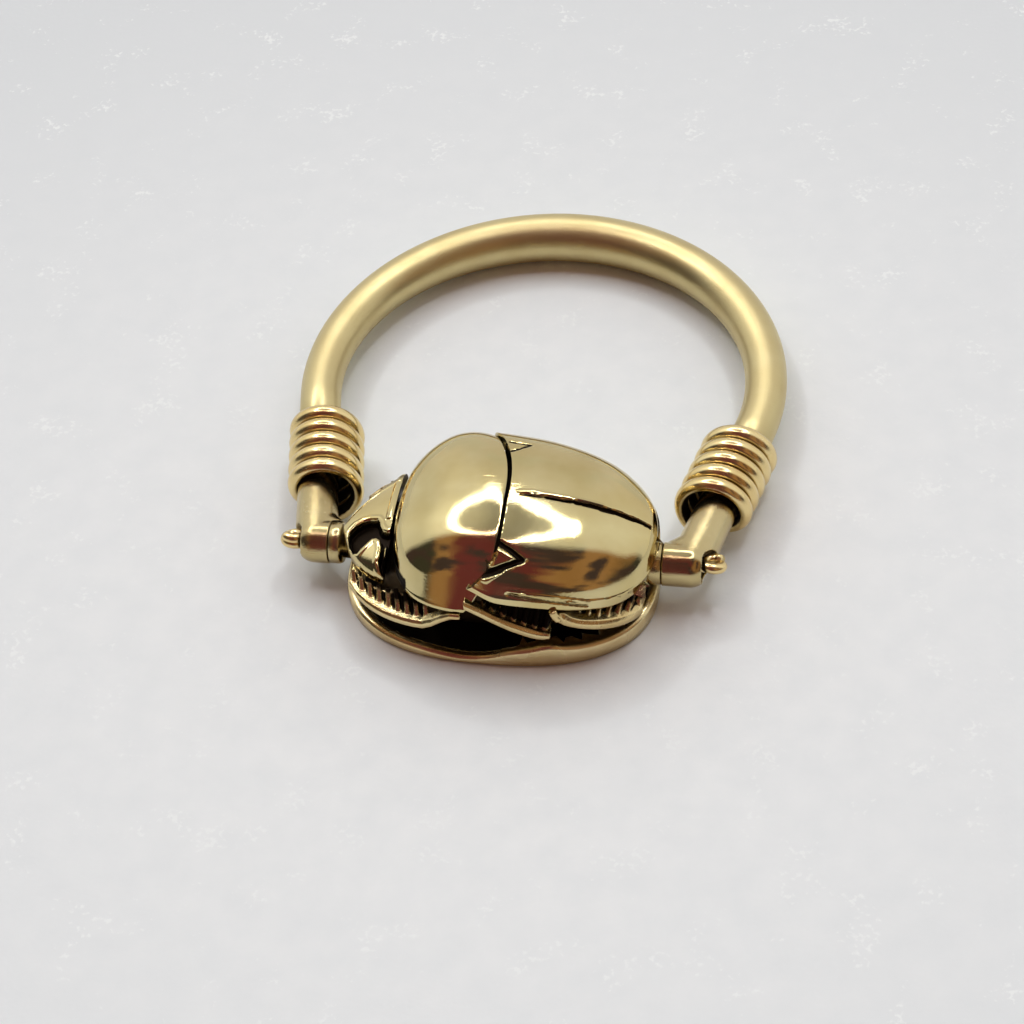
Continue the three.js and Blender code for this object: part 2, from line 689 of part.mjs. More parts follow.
// A leg: a bar that follows the outline of the base, with ribs that run in and up to the core, and
// a plate behind and below the ribs' tops that closes the spaces between them
function leg(side, shares, ribs) {
  const lower = heightAlong(shares, 1);
  const upperLine = heightAlong(shares, 2);
  const upper = (x) => Math.min(upperLine(x), ceiling(x) - seatGap);
  const [first, last] = [shares[0][0] * halfLength, shares[shares.length - 1][0] * halfLength];
  const bar = ringLoft(Array.from({ length: legStations + 1 }, (_, i) => {
    const x = first + ((last - first) * i) / legStations;
    const outer = legHalfWidth(x);
    const inner = legHalfWidth(x, legThickness);
    const [low, high] = [lower(x), upper(x)];
    const bevel = (high - low) / 4;
    return [
      [inner, low], [outer - bevel, low], [outer, low + bevel],
      [outer, high - bevel], [outer - bevel, high], [inner, high],
    ].map(([y, z]) => new THREE.Vector3(x, side * y, z));
  }));
  const rise = ribRiseShare * backHeight;
  const lean = ribLeanShare * halfLength * Math.sign(last - first);
  const ribInner = (x) => (
    Math.max(coreHalfWidth(x) + seatGap, legHalfWidth(x) - ribReach, headSide(side, x) + seatGap)
  );
  const ribTop = (x) => (
    Math.min(upper(x) + rise, x < -pronotumReach ? headUnderside + seatGap : ceiling(x) - 2 * seatGap)
  );
  const [from, to] = [ribs.fromShare * halfLength, ribs.toShare * halfLength];
  const web = ringLoft(Array.from({ length: legStations + 1 }, (_, i) => {
    const x = from + ((to - from) * i) / legStations;
    const outer = legHalfWidth(x, legThickness / 2);
    const inner = ribInner(x);
    const foot = (lower(x) + upper(x)) / 2;
    const top = Math.max(ribTop(x) - webDepth, foot + webThickness / 2);
    return [[outer, foot], [inner, top], [inner, top - webThickness], [outer, foot - webThickness / 2]]
      .map(([y, z]) => new THREE.Vector3(x, side * y, z));
  }));
  return Array.from({ length: ribs.count }, (_, i) => {
    const x = from + ((to - from) * i) / (ribs.count - 1);
    const outer = legHalfWidth(x, legThickness / 3);
    const inner = Math.min(Math.max(ribInner(x), ribInner(x + lean)), outer - ribThickness);
    const [low, high] = [lower(x), upper(x)];
    const profile = [
      [outer, low + (high - low) / 3, 0], [outer, high - (high - low) / 4, 0],
      [inner, Math.min(ribTop(x), ribTop(x + lean)), 1], [inner, low + (high - low) / 3, 1],
    ];
    return ringLoft([-1, 1].map((face) => profile.map(([y, z, top]) => (
      new THREE.Vector3(x + (face * ribThickness) / 2 + lean * top, side * y, z)
    ))));
  }).reduce((whole, rib) => whole.add(rib), bar.add(web)).subtract(tubeRoom());
}

function named(name, manifold, material) {
  const mesh = new THREE.Mesh(geometryOf(manifold), material);
  mesh.name = name;
  return mesh;
}

// The ring side lies tilted about the pin, with the back of the hoop on the table
const ringSide = new THREE.Group();
ringSide.position.z = pinHeight;
ringSide.rotation.x = -hoopTilt;
ringSide.add(
  named('hoop', hoop(), polishedGold),
  named('left_coil', coil('left_coil', leftPost, leftCoilDistance, leftCoilShift, -1), brushedGold),
  named('right_coil', coil('right_coil', rightPost, rightCoilDistance, rightCoilShift, 1), brushedGold),
  named('left_knuckle', knuckle(-1, leftPost, leftCoilDistance, leftBarrelLength), polishedGold),
  named('right_knuckle', knuckle(1, rightPost, rightCoilDistance, rightBarrelLength), polishedGold),
);

const pinSide = new THREE.Group();
pinSide.position.z = pinHeight;
pinSide.add(
  named('swivel_wire', swivelWire(), brushedGold),
  named('bearing_tube', bearingTube(), wornGold),
);

const scarab = new THREE.Group();
scarab.add(
  named('underbody', underbody(), darkGold),
  named('base_plate', basePlate(), wornGold),
  named('head', head(), polishedGold),
  named('pronotum', pronotum(), polishedGold),
  named('elytra', elytra(), polishedGold),
);
for (const [side, word] of [[-1, 'near'], [1, 'far']]) {
  scarab.add(
    named(`${word}_foreleg`, leg(side, forelegShares, forelegRibs), wornGold),
    named(`${word}_midleg`, leg(side, midlegShares, midlegRibs), wornGold),
    named(`${word}_hindleg`, leg(side, hindlegShares, hindlegRibs), wornGold),
  );
}

const ring = new THREE.Group();
ring.add(ringSide, pinSide, scarab);

export default ring;
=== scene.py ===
"""A gold scarab swivel ring: hoop, wire coils and knuckles, and a scarab that turns over on its wire.

Shapes are worked out in millimetres, in the solids' own frame, and made metres as each piece is
finished. +X runs along the pin to the scarab's tail, +Y to the back of the hoop, +Z up.
"""

from math import acos, asin, atan2, ceil, cos, pi, radians, sin

import bmesh
import bpy
from mathutils import Matrix, Vector


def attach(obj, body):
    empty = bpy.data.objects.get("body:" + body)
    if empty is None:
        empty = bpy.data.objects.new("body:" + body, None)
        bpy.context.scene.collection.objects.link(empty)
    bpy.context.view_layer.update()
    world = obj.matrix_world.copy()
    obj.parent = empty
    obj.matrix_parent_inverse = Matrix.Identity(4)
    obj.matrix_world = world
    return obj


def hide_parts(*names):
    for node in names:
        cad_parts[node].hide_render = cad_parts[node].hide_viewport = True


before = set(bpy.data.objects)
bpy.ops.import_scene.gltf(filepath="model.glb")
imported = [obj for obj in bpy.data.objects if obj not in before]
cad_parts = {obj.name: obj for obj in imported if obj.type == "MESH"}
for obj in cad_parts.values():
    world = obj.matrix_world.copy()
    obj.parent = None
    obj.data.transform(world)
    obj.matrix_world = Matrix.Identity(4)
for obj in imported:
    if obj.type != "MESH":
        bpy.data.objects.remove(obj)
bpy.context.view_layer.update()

# Sizes of the solids
HOOP_RADIUS, HOOP_SETBACK, HOOP_DRIFT = 9.55, 10.06, 0.24
BACK_THICK, END_THICK = 2.16, 1.74
PIN_HEIGHT, POST_SPAN = 1.9, 15.2
KNUCKLE_RADIUS, BARREL_LENGTHS = 0.875, {-1: 0.6, 1: 1.04}
BORE_RADIUS, WIRE_RADIUS = 0.26, 0.21
COIL_TURNS, COIL_PITCH, COIL_RADIUS = 5.125, 0.78, 1.59
COIL_PLACES = {-1: (4.6, 0.32), 1: (5.0, 0.17)}
HALF_LENGTH, HALF_WIDTH, BACK_HEIGHT = 6.35, 4.25, 5.72
PRONOTUM_REACH = 4.064
HOOP_TILT = asin((PIN_HEIGHT - BACK_THICK / 2) / (HOOP_SETBACK + HOOP_RADIUS))
ring_side = Matrix.Translation((0, 0, PIN_HEIGHT)) @ Matrix.Rotation(-HOOP_TILT, 4, "X")


# Shader maths
class Level:
    """A value or colour in a finish's nodes, for sums and products"""

    def __init__(self, paint, socket):
        self.paint, self.socket = paint, socket

    def math(self, kind, *others):
        return self.paint.node("ShaderNodeMath", {"operation": kind}, self, *others)

    def __add__(self, other):
        return self.math("ADD", other)

    def __sub__(self, other):
        return self.math("SUBTRACT", other)

    def __mul__(self, other):
        return self.math("MULTIPLY", other)

    def __rsub__(self, other):
        return self.paint.node("ShaderNodeMath", {"operation": "SUBTRACT"}, other, self)

    __radd__ = __add__


class Finish:
    """A material whose nodes are made one call at a time"""

    def __init__(self, name, owner=None, surface="Principled BSDF", place="Object"):
        self.material = owner or bpy.data.materials.new(name)
        self.material.use_nodes = True
        self.tree = self.material.node_tree
        self.surface = self.tree.nodes[surface]
        self.place = self.node("ShaderNodeTexCoord", output=place)

    def node(self, kind, settings=None, *inputs, output=0, **named):
        made = self.tree.nodes.new(kind)
        for key, value in (settings or {}).items():
            if key == "stops":
                for place, colour in value[2:]:
                    made.color_ramp.elements.new(place)
                for element, (place, colour) in zip(made.color_ramp.elements, sorted(value)):
                    element.position, element.color = place, colour
            else:
                setattr(made, key, value)
        for key, value in enumerate(inputs):
            self.feed(made.inputs[key], value)
        for key, value in named.items():
            self.feed(made.inputs[key.replace("_", " ")], value)
        return Level(self, made.outputs[output])

    def feed(self, socket, value):
        if isinstance(value, Level):
            self.tree.links.new(value.socket, socket)
        else:
            socket.default_value = value

    def set(self, **named):
        for name, value in named.items():
            self.feed(self.surface.inputs[name.replace("_", " ")], value)

    def ramp(self, value, *stops):
        """Greys from place to place along a value"""
        grey = [(place, (level, level, level, 1)) for place, level in stops]
        return self.node("ShaderNodeValToRGB", {"stops": grey}, value)

    def noise(self, scale, detail, place=None):
        return self.node("ShaderNodeTexNoise", None, Vector=place or self.place, Scale=scale, Detail=detail)

    def blend(self, factor, low, high):
        """A mix of two colours, which are the node's inputs 6 and 7"""
        mixed = self.node("ShaderNodeMix", {"data_type": "RGBA"}, output=2)
        for key, value in ((0, factor), (6, low), (7, high)):
            self.feed(mixed.socket.node.inputs[key], value)
        return mixed

    def hatch(self, turn, scale, thin):
        """Fine scratches that run one way"""
        across = self.node("ShaderNodeMapping", None, Vector=self.place, Rotation=(0, 0, radians(turn)),
                           Scale=(scale / 30, scale, scale))
        return self.ramp(self.noise(1, 2, across), (thin, 0), (thin + 0.06, 1))


# The painted shade colours: near black for the shade marked on a mesh, and dark gold for shade in hollows
SHADE_BLACK, HOLLOW_SHADE_COLOUR = (0.013, 0.009, 0.006, 1), (0.012, 0.008, 0.004, 1)


def gold(name, pale, deep, rough, scratches, reach, grain, dark=1.0, dents=0.45, hollow_shade_colour=HOLLOW_SHADE_COLOUR):
    """Yellow gold: mottled tone, hair scratches and a fine satin grain, with painted shade: darkened
    towards a shade colour where something lies nearer than the reach, in millimetres, and made near
    black where the mesh's marked painted shade says. The scales of noise are per metre."""
    paint = Finish(name)
    cloud = paint.noise(420, 4)
    tone = paint.blend(paint.ramp(cloud, (0.35, 0), (0.65, 1)), deep, pale)
    # Painted shade: the tone darkens towards the shade colour where occlusion finds something near
    shelter = paint.node("ShaderNodeAmbientOcclusion", {"samples": 8, "only_local": False},
                         Distance=reach * 0.001, output=1)
    hollow_shade = (1 - paint.ramp(shelter + (cloud - 0.5) * 0.15, (0.2, 0), (0.6, 1))) * dark
    # Painted shade marked on each mesh's points, in grooves, recesses, pits, gaps and hollows, made near
    # black
    scored = paint.node("ShaderNodeAttribute", {"attribute_name": "scored"}, output=2)
    marked_shade = paint.ramp(scored + (paint.noise(9000, 2) - 0.5) * 0.5, (0.22, 0), (0.62, 1))
    paint.set(Base_Color=paint.blend(marked_shade, paint.blend(hollow_shade, tone, hollow_shade_colour), SHADE_BLACK))
    lines = paint.hatch(24, 11000, 0.66).math("MAXIMUM", paint.hatch(-63, 9000, 0.67)) * scratches
    satin = paint.noise(17000, 2)
    worn_patch = paint.ramp(paint.noise(330, 2), (0.42, 0), (0.6, 1))
    paint.set(Metallic=1.0,
              Roughness=rough + worn_patch * 0.04 + lines * 0.1 + hollow_shade.math("MAXIMUM", marked_shade) * 0.35)
    height = satin * (worn_patch * grain + grain * 0.35) + lines * -0.3 + paint.noise(1500, 3) * dents
    paint.set(Normal=paint.node("ShaderNodeBump", None, Strength=0.35, Distance=0.00002, Height=height))
    return paint.material


polished = gold("polished gold", (0.67, 0.57, 0.30, 1), (0.59, 0.48, 0.22, 1), 0.07,
                scratches=0.15, reach=0.4, grain=0.3, dents=0.3)
rubbed = gold("rubbed gold", (0.65, 0.55, 0.285, 1), (0.60, 0.49, 0.24, 1), 0.36,
              scratches=0.8, reach=0.4, grain=0.9, dark=0.4, dents=0.7)
brushed = gold("brushed gold", (0.56, 0.46, 0.24, 1), (0.48, 0.38, 0.18, 1), 0.17,
               scratches=0.8, reach=0.4, grain=0.9, dents=0.8, hollow_shade_colour=(0.05, 0.025, 0.008, 1))
# The wire's hollows are painted amber, as the shade and the gold reflected between its turns
drawn = gold("drawn gold wire", (0.84, 0.69, 0.36, 1), (0.76, 0.57, 0.25, 1), 0.2,
             scratches=0.5, reach=0.3, grain=0.3, dark=0.9, hollow_shade_colour=(0.16, 0.075, 0.02, 1))
worn = gold("worn cast gold", (0.76, 0.63, 0.33, 1), (0.64, 0.48, 0.22, 1), 0.22,
            scratches=0.4, reach=0.7, grain=0.5)
dished = gold("worn gold of the dish", (0.82, 0.68, 0.38, 1), (0.70, 0.54, 0.26, 1), 0.24,
              scratches=0.4, reach=0.7, grain=0.5, dark=0.5)
# Painted shade: the core behind the legs is near black
shadowed_core_gold = gold("blackened gold", (0.10, 0.065, 0.03, 1), (0.03, 0.02, 0.011, 1), 0.38,
                 scratches=0.2, reach=1.2, grain=0.6)


# Making pieces
def done(name, mesh, body, slot, material, *replaced, wall=0, edge=0):
    """Make a drawn mesh a finished piece, given a wall inwards and a soft edge where it is a bare sheet"""
    bmesh.ops.scale(mesh, vec=(0.001,) * 3, verts=mesh.verts)
    data = bpy.data.meshes.new(name)
    mesh.to_mesh(data)
    mesh.free()
    data.polygons.foreach_set("use_smooth", [True] * len(data.polygons))
    data.materials.append(material)
    piece = bpy.data.objects.new(name, data)
    bpy.context.scene.collection.objects.link(piece)
    if wall:
        solid = piece.modifiers.new("wall", "SOLIDIFY")
        solid.thickness, solid.offset, solid.use_even_offset = wall * 0.001, -1, False
    if edge:
        soft = piece.modifiers.new("edge", "BEVEL")
        soft.width, soft.segments = edge * 0.001, 3
        soft.limit_method, soft.angle_limit = "ANGLE", radians(55)
    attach(piece, body)
    if replaced:
        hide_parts(*replaced)
    return piece


def outward(mesh):
    """Merge the points that meet, and turn all faces outwards"""
    bmesh.ops.remove_doubles(mesh, verts=mesh.verts, dist=0.0005)
    bmesh.ops.recalc_face_normals(mesh, faces=mesh.faces)
    return mesh


def next_ring(mesh, ring):
    """Extrude a ring of points, and give the new ones in the same order"""
    before = set(ring)
    edges = [edge for edge in {e for point in ring for e in point.link_edges}
             if all(end in before for end in edge.verts)]
    made = bmesh.ops.extrude_edge_only(mesh, edges=edges)["geom"]
    fresh = {point for point in made if isinstance(point, bmesh.types.BMVert)}
    follow = {}
    for point in fresh:
        for edge in point.link_edges:
            other = edge.other_vert(point)
            if other not in fresh:
                follow[other] = point
    return [follow[point] for point in ring]


def skin(mesh, rings):
    """Draw a skin through closed rings of places, capped at both ends"""
    count = len(rings[0])
    ring = bmesh.ops.create_circle(mesh, cap_ends=False, radius=1, segments=count)["verts"]
    for index, places in enumerate(rings):
        if index:
            ring = next_ring(mesh, ring)
        for point, place in zip(ring, places):
            point.co = place
        if index in (0, len(rings) - 1):
            bmesh.ops.contextual_create(mesh, geom=ring)
    return mesh


def bar(mesh, line, radii, sides):
    """Draw a round bar along a line of places, with one radius or one for each place"""
    rings = []
    for index, place in enumerate(line):
        along = (line[min(index + 1, len(line) - 1)] - line[max(index - 1, 0)]).normalized()
        side = along.cross(Vector((0, 0, 1))).normalized()
        top = side.cross(along)
        radius = radii[index] if isinstance(radii, list) else radii
        rings.append([place + radius * (top * cos(2 * pi * k / sides) + side * sin(2 * pi * k / sides))
                      for k in range(sides)])
    return skin(mesh, rings)


def turned(profile):
    """Turn a closed profile of (radius, place along X) about the X axis"""
    mesh = bmesh.new()
    points = [mesh.verts.new((place, radius, 0)) for radius, place in profile]
    edges = [mesh.edges.new((a, b)) for a, b in zip(points, points[1:] + points[:1])]
    bmesh.ops.spin(mesh, geom=points + edges, cent=(0, 0, 0), axis=(1, 0, 0), angle=2 * pi, steps=64,
                   use_merge=True)
    return mesh


def stand(mesh, name):
    """Stand a drawn mesh in the scene as an object of its own"""
    data = bpy.data.meshes.new(name)
    mesh.to_mesh(data)
    mesh.free()
    made = bpy.data.objects.new(name, data)
    bpy.context.scene.collection.objects.link(made)
    return made


def melted(mesh, voxel, passes, hollow=None):
    """One soft skin over all the forms of a mesh, as in a casting, less what is hollow"""
    cast = stand(mesh, "cast")
    data = cast.data
    remesh = cast.modifiers.new("skin", "REMESH")
    remesh.mode, remesh.voxel_size = "VOXEL", voxel
    if hollow:
        drill = stand(hollow, "drill")
        cut = cast.modifiers.new("cut", "BOOLEAN")
        cut.operation, cut.object, cut.solver = "DIFFERENCE", drill, "EXACT"
        remesh = cast.modifiers.new("rim", "REMESH")
        remesh.mode, remesh.voxel_size = "VOXEL", voxel
    soften = cast.modifiers.new("soften", "SMOOTH")
    soften.factor, soften.iterations = 0.5, passes
    bpy.context.view_layer.update()
    whole = bpy.data.meshes.new_from_object(cast.evaluated_get(bpy.context.evaluated_depsgraph_get()))
    soft = bmesh.new()
    soft.from_mesh(whole)
    bpy.data.objects.remove(cast)
    bpy.data.meshes.remove(data)
    bpy.data.meshes.remove(whole)
    if hollow:
        bpy.data.objects.remove(drill)
    return soft


def copied(node):
    """A merged copy of a solid, in millimetres"""
    mesh = bmesh.new()
    mesh.from_mesh(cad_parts[node].data)
    bmesh.ops.scale(mesh, vec=(1000,) * 3, verts=mesh.verts)
    bmesh.ops.remove_doubles(mesh, verts=mesh.verts, dist=0.0005)
    return mesh


def score(mesh, strokes):
    """Engrave strokes, with painted shade in the grooves: each is a line of places, a half width, a
    depth (less than 0 where it stands proud) and how black its painted shade is"""
    layer = mesh.verts.layers.float.new("scored")
    mesh.normal_update()
    moves = []
    boxes = [([min(p[axis] for p in stroke[0]) - stroke[1] for axis in range(3)],
              [max(p[axis] for p in stroke[0]) + stroke[1] for axis in range(3)]) for stroke in strokes]
    for point in mesh.verts:
        deep, black = 0, 0
        for (line, half, depth, shade), (low, high) in zip(strokes, boxes):
            if not all(low[axis] < point.co[axis] < high[axis] for axis in range(3)):
                continue
            away = min(distance(point.co, a, b) for a, b in zip(line, line[1:]))
            if away < half:
                share = 1 - (away / half) ** 2
                deep = depth * share if abs(depth) * share > abs(deep) else deep
                black = max(black, shade * min(1, share * 1.6))
        point[layer] = black
        if deep:
            moves.append((point, point.co - point.normal * deep))
    for point, place in moves:
        point.co = place
    return mesh


def pit_shaded(mesh, passes, depth, shade):
    """Paint shade: blacken what lies lower than a smoothed skin over the mesh, and what a rule adds to it"""
    layer = mesh.verts.layers.float.new("scored")
    mesh.normal_update()
    places = [(point.co.copy(), point.normal.copy()) for point in mesh.verts]
    for _ in range(passes):
        bmesh.ops.smooth_vert(mesh, verts=mesh.verts, factor=0.5,
                              use_axis_x=True, use_axis_y=True, use_axis_z=True)
    for point, (place, normal) in zip(mesh.verts, places):
        sunk = min(1, max(0, (point.co - place).dot(normal) / depth))
        point[layer] = max(sunk, shade(place))
        point.co = place
    return mesh


def distance(place, a, b):
    """How far a place lies from the stretch between two others"""
    along = b - a
    share = min(1, max(0, (place - a).dot(along) / along.length_squared))
    return (place - a - along * share).length


# Hoop, coils, knuckles, wire and tube
def post(side):
    """The corner of a knuckle, the middle of the hoop, the turn at which the round part meets the
    post, the way that the post runs, and the way that faces in"""
    corner = Vector((side * POST_SPAN / 2, 0, 0))
    middle = Vector((HOOP_DRIFT, HOOP_SETBACK, 0))
    reach = corner - middle
    turn = atan2(reach.y, reach.x) + side * acos(HOOP_RADIUS / reach.length)
    meeting = middle + HOOP_RADIUS * Vector((cos(turn), sin(turn), 0))
    way = (meeting - corner).normalized()
    return corner, middle, turn, way, Vector((-side * way.y, side * way.x, 0))


def hoop():
    """The rod round the finger, thicker at the back than at its ends"""
    corner, middle, last, way, _ = post(1)
    corner_left, _, first, way_left, _ = post(-1)
    first += 2 * pi
    line, radii = [corner_left + way_left * COIL_PLACES[-1][0]], [END_THICK / 2]
    steps = 160
    for step in range(steps + 1):
        share = step / steps
        turn = first + (last - first) * share
        line.append(middle + HOOP_RADIUS * Vector((cos(turn), sin(turn), 0)))
        radii.append(END_THICK / 2 + (BACK_THICK - END_THICK) / 2 * sin(pi * share) ** 2)
    line.append(corner + way * COIL_PLACES[1][0])
    radii.append(END_THICK / 2)
    mesh = bar(bmesh.new(), line, radii, 48)
    bmesh.ops.transform(mesh, matrix=ring_side, verts=mesh.verts)
    return done("hoop_rod", outward(mesh), "ring", "polished_gold", rubbed, "hoop")


def coil(side, name):
    """The wire wound round the rod, spun up from one oval section, with both ends tucked underneath"""
    # The wire's half sizes, along the rod and away from it
    along, deep = 0.35, 0.27
    corner, _, _, way, inwards = post(side)
    place, shift = COIL_PLACES[side]
    mesh = bmesh.new()
    wire = bmesh.ops.create_circle(mesh, cap_ends=False, radius=1, segments=20)["verts"]
    bmesh.ops.scale(mesh, vec=(deep, along, 1), verts=wire)
    bmesh.ops.translate(mesh, vec=(COIL_RADIUS - deep, 0, 0), verts=wire)
    bmesh.ops.rotate(mesh, matrix=Matrix.Rotation(pi / 2, 3, "X"), verts=wire)
    steps = ceil(COIL_TURNS * 60)
    edges = {edge for point in wire for edge in point.link_edges}
    bmesh.ops.spin(mesh, geom=[*wire, *edges], cent=(0, 0, 0), axis=(0, 0, side), steps=steps,
                   angle=2 * pi * COIL_TURNS, dvec=(0, 0, COIL_PITCH * COIL_TURNS / steps))
    bmesh.ops.translate(mesh, vec=(0, 0, -COIL_PITCH * COIL_TURNS / 2), verts=mesh.verts)
    bmesh.ops.holes_fill(mesh, edges=[edge for edge in mesh.edges if edge.is_boundary], sides=0)
    # Painted shade on the wire's inner side, inside the coil
    layer = mesh.verts.layers.float.new("scored")
    for point in mesh.verts:
        point[layer] = min(1, max(0, (COIL_RADIUS - deep * 1.2 - point.co.xy.length) / (deep * 0.5)))
    start = -side * pi * COIL_TURNS
    first = Vector((0, 0, 1)) * cos(start) + inwards * sin(start)
    turn = Matrix((first, way.cross(first), way)).transposed().to_4x4()
    where = Matrix.Translation(corner + way * place + inwards * shift) @ turn
    bmesh.ops.transform(mesh, matrix=ring_side @ where, verts=mesh.verts)
    return done(name, outward(mesh), "ring", "gold_wire", drawn, f"{name.split('_')[0]}_coil")


def knuckle(side, node):
    """A post out of its coil, a round elbow and a barrel, drilled for the pin and its eye"""
    corner, _, _, way, _ = post(side)
    inwards = Vector((-side, 0, 0))
    length = BARREL_LENGTHS[side]
    mesh = bar(bmesh.new(), [corner, corner + way * 1.75, corner + way * (COIL_PLACES[side][0] - 0.05)],
               [KNUCKLE_RADIUS, 0.86, 0.82], 64)
    elbow = bmesh.ops.create_uvsphere(mesh, u_segments=64, v_segments=32, radius=KNUCKLE_RADIUS)["verts"]
    bmesh.ops.translate(mesh, vec=corner, verts=elbow)
    bar(mesh, [corner, corner + inwards * (length + 0.1)], KNUCKLE_RADIUS, 64)
    # Thinner bars fill the inside of the bend
    for reach, thick in ((1.0, 0.74), (1.35, 0.52)):
        bend = [corner + inwards * reach, corner + (inwards + way) * reach * 0.5, corner + way * reach]
        bar(mesh, bend, thick, 48)
    # The drill cuts the barrel's end square, bores it and opens the eye's pocket
    drill = turned([(0, -3), (0.89, -3), (0.89, -length - 0.02), (BORE_RADIUS, -length - 0.02),
                    (BORE_RADIUS, 0.225), (0.54, 0.24), (0.64, 0.33), (0.67, 0.5), (0.68, 2), (0, 2)])
    if side < 0:
        bmesh.ops.rotate(drill, matrix=Matrix.Rotation(pi, 3, "Z"), verts=drill.verts)
    bmesh.ops.translate(drill, vec=corner, verts=drill.verts)
    soft = outward(melted(mesh, voxel=0.036, passes=5, hollow=outward(drill)))
    # Painted shadow inside the eye's pocket, round the pin's curl
    layer = soft.verts.layers.float.new("scored")
    for point in soft.verts:
        place = point.co - corner
        point[layer] = place.yz.length < 0.655 and 0.15 < place.x * side < 0.78
    bmesh.ops.transform(soft, matrix=ring_side, verts=soft.verts)
    return done(f"{node}_cast", soft, "ring", "polished_gold", brushed, node)


def swivel_wire():
    """The pin, with a tight thick curl at each end"""
    mesh = bmesh.new()
    eye, eye_radius, eye_turns, eye_lean = POST_SPAN / 2 + 0.92, 0.35, 1.4, radians(-25)
    steps = 52
    curl = []
    for step in range(steps + 1):
        turn = pi + 2 * pi * eye_turns * step / steps
        rise = 0.3 * step / steps - 0.06
        curl.append(Vector((eye + eye_radius * cos(turn), -eye_radius * sin(turn), rise)))
    half = [Vector((x, 0, 0)) for x in (0, 3, 6, 7.5, eye - 0.6)] + curl[1:]
    line = [Vector((-p.x, -p.y, p.z)) for p in reversed(half[1:])] + half
    bar(mesh, line, [0.215 if abs(p.x) > eye - 0.7 else WIRE_RADIUS for p in line], 24)
    bmesh.ops.rotate(mesh, matrix=Matrix.Rotation(eye_lean, 3, "X"), verts=mesh.verts)
    bmesh.ops.translate(mesh, vec=(0, 0, PIN_HEIGHT), verts=mesh.verts)
    return done("swivel_pin", outward(mesh), "swivel_wire", "gold_wire", drawn, "swivel_wire")


def bearing_tube():
    """The tube through the scarab, with a collar at each end"""
    left, right, collar = -6.955, 6.515, 0.85
    mesh = turned([(BORE_RADIUS, left), (0.82, left), (collar, left + 0.03), (collar, left + 0.4),
                   (0.8, left + 0.5), (0.6, left + 0.51), (0.6, right - 0.72), (0.78, right - 0.7),
                   (0.84, right - 0.6), (collar, right - 0.5), (collar, right - 0.03), (0.82, right),
                   (BORE_RADIUS, right)])
    bmesh.ops.translate(mesh, vec=(0, 0, PIN_HEIGHT), verts=mesh.verts)
    return done("collared_tube", outward(mesh), "scarab", "worn_gold", brushed, "bearing_tube")


# The scarab
def heights(rows):
    """A smooth height at a place along X, through rows of places and heights. The places are shares
    of the half length, and the heights are shares of the back's height."""
    points = [Vector((place * HALF_LENGTH, share * BACK_HEIGHT)) for place, share in rows]
    if points[0].x > points[-1].x:
        points.reverse()

    def at(x):
        last = len(points) - 1
        index = max(0, min(last - 1, sum(point.x <= x for point in points) - 1))
        a, b = points[index], points[index + 1]
        before, after = points[max(index - 1, 0)], points[min(index + 2, last)]
        wide = b.x - a.x
        share = min(1, max(0, (x - a.x) / wide))
        rise = (b.y - before.y) / max(b.x - before.x, 1e-9) * wide
        fall = (after.y - a.y) / max(after.x - a.x, 1e-9) * wide
        square = share * share
        cube = square * share
        return (a.y * (2 * cube - 3 * square + 1) + rise * (cube - 2 * square + share)
                + b.y * (3 * square - 2 * cube) + fall * (cube - square))

    return at


ridge = heights([(-0.66, 0.62), (-0.62, 0.73), (-0.56, 0.8), (-0.46, 0.875), (-0.33, 0.945), (-0.18, 0.985),
                 (0, 1), (0.17, 0.993), (0.33, 0.965), (0.5, 0.925), (0.62, 0.892), (0.745, 0.842),
                 (0.85, 0.778), (0.96, 0.705), (0.99, 0.65), (1.03, 0.53)])
elytra_lip = heights([(-0.3, 0.7), (-0.08, 0.69), (0.11, 0.635), (0.3, 0.6), (0.47, 0.56), (0.66, 0.51),
                      (0.8, 0.465), (1.02, 0.43)])
pronotum_lip = heights([(-0.66, 0.56), (-0.55, 0.53), (-0.4, 0.525), (-0.1, 0.525), (0.2, 0.525)])
head_crest = heights([(-1.02, 0.5), (-0.96, 0.535), (-0.85, 0.565), (-0.72, 0.6), (-0.6, 0.63)])
rim_height = heights([(-1, 0.125), (-0.85, 0.115), (-0.66, 0.095), (-0.43, 0.08), (-0.3, 0.065),
                      (-0.15, 0.056), (0, 0.08), (0.14, 0.135), (0.27, 0.165), (0.39, 0.195),
                      (0.52, 0.165), (0.66, 0.15), (0.85, 0.145), (1, 0.15)])

# How full the sections of the back are, on the near side and on the far side
ELYTRA_SECTIONS, PRONOTUM_SECTIONS, HEAD_SECTIONS = (2.3, 2.7), (2.45, 3.2), (3, 3)
# How steep the straight skirt is that ends a near section of that fullness
SKIRTS = {ELYTRA_SECTIONS[0]: 3.5, PRONOTUM_SECTIONS[0]: 2.45}
ELYTRA_HALF, ELYTRA_PLAN = 4.12, 2.6
HEAD_REACH, HEAD_FAR, HEAD_PLAN, HEAD_LIP = 6.32, 3.19, 1.35, 2.5
# Half the gap between wing cases and pronotum, measured along X
GAP = 0.09


def rounded(share, full):
    """How high a rounded section lies at a share of its width"""
    return (1 - min(abs(share), 1) ** full) ** (1 / full)


def on_oval(turn, full):
    """Cosine and sine of a turn, pushed out on to a fuller oval"""
    c, s = cos(turn), sin(turn)
    size = (abs(c) ** full + abs(s) ** full) ** (1 / full)
    return c / size, s / size


def skirt(full):
    """How steep a near section's straight skirt is, and how high and wide the rounded part ends"""
    steep = SKIRTS[full]
    ratio = steep ** (1 / (full - 1))
    low = (1 + ratio ** full) ** (-1 / full)
    return steep, low, ratio * low


